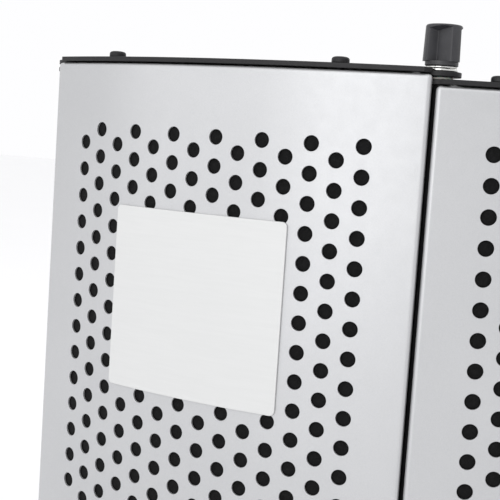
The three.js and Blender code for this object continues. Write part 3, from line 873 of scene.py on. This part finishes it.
def split_washer(low):
    """A spring washer: a flat ring cut through and twisted so that its ends stand apart."""
    points, faces = [], []
    steps = 60
    for k in range(steps + 1):
        f = k / steps
        angle = math.radians(6 + 348 * f)
        lift = low + 0.3 * (f - 0.5)
        for r, z in ((5.0, 0.15), (5.2, 0), (8.55, 0), (8.8, 0.18),
                     (8.8, 0.66), (8.55, 0.84), (5.2, 0.84), (5.0, 0.66)):
            points.append((r * math.cos(angle), r * math.sin(angle), lift + 0.14 + z))
    for k in range(steps):
        for i in range(8):
            n = (i + 1) % 8
            a, b = 8 * k, 8 * (k + 1)
            faces.append((a + i, b + i, b + n, a + n))
    faces.append(tuple(range(8)))
    faces.append(tuple(reversed(range(8 * steps, 8 * steps + 8))))
    return points, faces


def hinge_hardware(side):
    """Knob, washers, spacers and bolt on one axis; the left set is the right one turned over."""
    name = "left" if side < 0 else "right"
    axis = AXES[f"{name}_wing"]
    over = Matrix.Rotation(math.pi if side < 0 else 0, 4, "X")
    at = Matrix.Translation((axis.x, axis.y, MIDDLE)) @ over
    lug_low = centre.plate - LUG_DROP
    lug_top = lug_low + PLATE
    washer = lug_top + TOUCH
    turn = math.radians(-68 if side > 0 else 20)

    def put(piece, body, shape, look, node_name, sharp=50):
        add_piece(f"{name}_{piece}", body, moved(shape, at), look, [f"{name}_{node_name}"], sharp)

    points, faces = knob_shape(turn)
    knob = [(x, y, z + washer + 2.8 + KNOB_NECK) for x, y, z in points], faces
    put("lobed_knob", f"{name}_knob", knob, "knob_plastic", "knob", 38)
    put("flat_washer", "centre", rounded_ring(3.3, 9.2, washer, washer + 1.1, 0.3, 64), "chrome", "washer")
    put("split_washer", "centre", split_washer(washer + 1.4), "chrome", "spring_washer")
    for which, low in (("knob", right_wing.plate + PLATE + TOUCH), ("bolt", -lug_low + TOUCH)):
        ring = rounded_ring(BOLT_BORE, 7, low, low + 1.2, 0.2)
        put(f"{which}_nylon_ring", "centre", ring, "nylon", f"{which}_spacer")
    head = [(0, -lug_top + 1.6), (1.6, -lug_top + 1.6), (1.95, -lug_top + 0.1), (2.1, -lug_top),
            (5.8, -lug_top), (6, -lug_top + 0.25), (3, -lug_top + 3),
            (3, -right_wing.plate + 14), (0, -right_wing.plate + 14)]

    def hexagon(r, height, angle):
        if r > 2.2:
            return r
        return r / math.cos((angle % (math.pi / 3)) - math.pi / 6)
    put("flat_bolt", "centre", turned(head, 48, hexagon), "black_steel", "hinge_bolt", 40)


# ---------------------------------------------------------------- bar, socket and microphone post

def mount_bar():
    low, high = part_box("mount_bar")
    low, high = low / MM, high / MM
    half, front, back = 20.0, low.y, high.y
    slot_mid, slot_reach, slot_r = APEX + 132, 39.6, 4.4
    outline = [(-half + 6, front), (half - 6, front), (half, front + 6)]
    outline += [(half * math.cos(a), back - half + half * math.sin(a)) for a in spread(0, math.pi, 0.12)]
    outline += [(-half, front + 6)]
    slot = []
    for middle, angles in ((slot_mid + slot_reach, (math.pi, 0)), (slot_mid - slot_reach, (0, -math.pi))):
        slot += [(slot_r * math.cos(a), middle + slot_r * math.sin(a)) for a in spread(*angles, 0.3)]
    screw_holes = [circle(x, APEX + BAR_SCREW_DEPTH, SCREW_BORE, 20) for x in BAR_SCREWS]
    holes = [slot, circle(0, 0, 8.3), *screw_holes]
    shape = moved(slab([outline] + holes, low.z, high.z, 0.5), Matrix())
    add_piece("slotted_bar", "centre", shape, "black_steel", ["mount_bar"], sharp=45)


def thread_wave(height, angle, pitch):
    """A thread's flanks, from 0 at a root to 1 at a crest."""
    return abs(((height / pitch - angle / (2 * math.pi)) % 1) * 2 - 1)


def stand_parts():
    low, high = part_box("stand_socket")
    low, high = low.z / MM, high.z / MM
    bar_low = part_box("mount_bar")[0].z / MM

    def knurl(r, height, angle):
        if r > 14.9 and low + 5 < height < low + 27:
            a = 15 * angle + (height - low) * 0.7
            b = 15 * angle - (height - low) * 0.7
            ridge = abs(math.sin(a) * math.sin(b))
            return r - 0.22 * (ridge < 0.35) - 0.15 * (1 - ridge)
        if r < 8 and height < low + 21:
            return r - 0.45 * thread_wave(height, angle, STAND_PITCH)
        return r
    thread = [(7.95, h) for h in spread(low + 21, low + 0.6, 0.235)]
    body = [(8.6, low), (13.6, low), (14.6, low + 0.7), (15, low + 1.6)]
    body += [(15, h) for h in spread(low + 2.4, low + 31, 0.55)]
    body += [(14.6, bar_low - 0.8), (14, bar_low - TOUCH), (8, bar_low - TOUCH)]
    stub = [(8, high - 0.8), (7.3, high), (0, high), (0, low + 22), (7.95, low + 22)]
    socket = turned(body + stub + thread + [(8.6, low)], 120, knurl)
    add_piece("stand_socket_body", "centre", moved(socket, Matrix()), "black_steel",
              ["stand_socket"], sharp=45)
    nut_low, nut_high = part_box("stand_lock_nut")
    across = 24 / math.sqrt(3)
    angles = [math.radians(a) for a in range(0, 360, 60)]
    hexagon = [(across * math.cos(a), across * math.sin(a)) for a in angles]
    nut = slab([hexagon, circle(0, 0, 8.3, 40)], nut_low.z / MM, nut_high.z / MM, 0.7)
    add_piece("chamfered_lock_nut", "centre", moved(nut, Matrix()), "zinc", ["stand_lock_nut"], sharp=35)


def post_parts():
    low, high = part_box("mic_post")
    y = (low.y + high.y) / 2 / MM
    low, high = low.z / MM, high.z / MM
    bar_low, bar_high = (v.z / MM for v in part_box("mount_bar"))
    at = Matrix.Translation((0, y, 0))

    def thread(r, height, angle):
        if 7.9 < r < 8 and height > bar_high + 3.6:
            return r - 0.5 * thread_wave(height, angle, STAND_PITCH)
        if r < 4.01 and r > 3.9 and height < bar_low:
            return r - 0.35 * thread_wave(height, angle, 0.8)
        return r
    profile = [(0, low), (3.4, low)] + [(4, h) for h in spread(low + 0.5, bar_high + TOUCH, 0.2)]
    profile += [(11.6, bar_high + TOUCH), (12, bar_high + 0.7), (12, bar_high + 2.5), (11.5, bar_high + 3)]
    profile += [(7.95, h) for h in spread(bar_high + 3, high - 1, 0.235)] + [(6.9, high), (0, high)]
    post = moved(turned(profile, 64, thread), at)
    add_piece("threaded_post", "mic_post", post, "chrome", ["mic_post"], sharp=60)
    washer = moved(rounded_ring(4.3, 12, bar_low - 1.5, bar_low - TOUCH, 0.3, 64), at)
    add_piece("post_flat_washer", "mic_post", washer, "zinc", ["post_washer"])
    wheel_low, wheel_high = (v.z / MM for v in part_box("post_lock_wheel"))

    def ribs(r, height, angle):
        return r - 0.45 * (1 - math.cos(18 * angle)) if r > 12 else r
    rim = [(12.6, wheel_low), (13.6, wheel_low + 0.5), (13.95, wheel_low + 1.4),
           (13.95, wheel_high - 1.4), (13.6, wheel_high - 0.5), (12.6, wheel_high)]
    face = [(9.5, wheel_high), (4.3, wheel_high), (4.3, wheel_low), (7, wheel_low),
            (7.6, wheel_low + 0.8), (10.8, wheel_low + 0.8), (11.4, wheel_low), (12.6, wheel_low)]
    add_piece("ribbed_lock_wheel", "lock_wheel", moved(turned(rim + face, 216, ribs), at), "knob_plastic",
              ["post_lock_wheel"], sharp=45)


# ---------------------------------------------------------------- building

for panel in PANELS:
    perforated_skin(panel)
    soft_pieces(panel)
    end_plate(panel, True)
    end_plate(panel, False)
badge_plate()
plate_screws()
for side in (-1, 1):
    hinge_hardware(side)
mount_bar()
stand_parts()
post_parts()

for node_name, obj in frame["nodes"].items():
    used = next(p["material_slot"] for p in frame["record"]["subparts"] if p["node"] == node_name)
    obj.data.materials.clear()
    obj.data.materials.append(LOOKS[used])

# ---------------------------------------------------------------- camera, floor and light

camera = bpy.data.objects.new("camera", bpy.data.cameras.new("camera"))
camera.data.lens = 82.35
camera.data.sensor_width = 36
camera.data.clip_start = 0.01
camera.matrix_world = (
    Matrix.Translation((0.36762, -0.62355, MIDDLE * MM + 0.11927))
    @ Matrix.Rotation(math.radians(30.483), 4, "Z")
    @ Matrix.Rotation(math.radians(90 - 5.544), 4, "X")
    @ Matrix.Rotation(math.radians(3.829), 4, "Z")
)
scene.collection.objects.link(camera)
scene.camera = camera

floor_mesh = bpy.data.meshes.new("floor")
floor_mesh.from_pydata([(-8, -8, 0), (8, -8, 0), (8, 8, 0), (-8, 8, 0)], [], [(0, 1, 2, 3)])
floor_mesh.materials.append(studio_floor())
floor = bpy.data.objects.new("floor", floor_mesh)
floor.location.z = cad_box[0].z - 0.001
scene.collection.objects.link(floor)


def area_light(name, azimuth, distance, height, size, power, aim_height=0.2):
    """A soft box that stands at an azimuth round the shield and faces it."""
    lamp = bpy.data.lights.new(name, "AREA")
    lamp.shape, lamp.size, lamp.size_y, lamp.energy = "RECTANGLE", *size, power
    box = bpy.data.objects.new(name, lamp)
    a = math.radians(azimuth)
    box.location = (distance * math.cos(a), distance * math.sin(a), height)
    box.rotation_euler = (Vector((0, 0, aim_height)) - box.location).to_track_quat("-Z", "Y").to_euler()
    scene.collection.objects.link(box)


area_light("front_softbox", -87, 2.2, 0.8, (1.4, 2.1), 16)
area_light("left_softbox", -128, 2.4, 0.8, (1.3, 1.8), 5)
area_light("top_softbox", -60, 1.6, 2.2, (1.8, 1.8), 8)

world = bpy.data.worlds.new("studio")
world.use_nodes = True
world.node_tree.nodes["Background"].inputs["Color"].default_value = (0.99, 0.99, 1.0, 1)
world.node_tree.nodes["Background"].inputs["Strength"].default_value = 1.0
scene.world = world
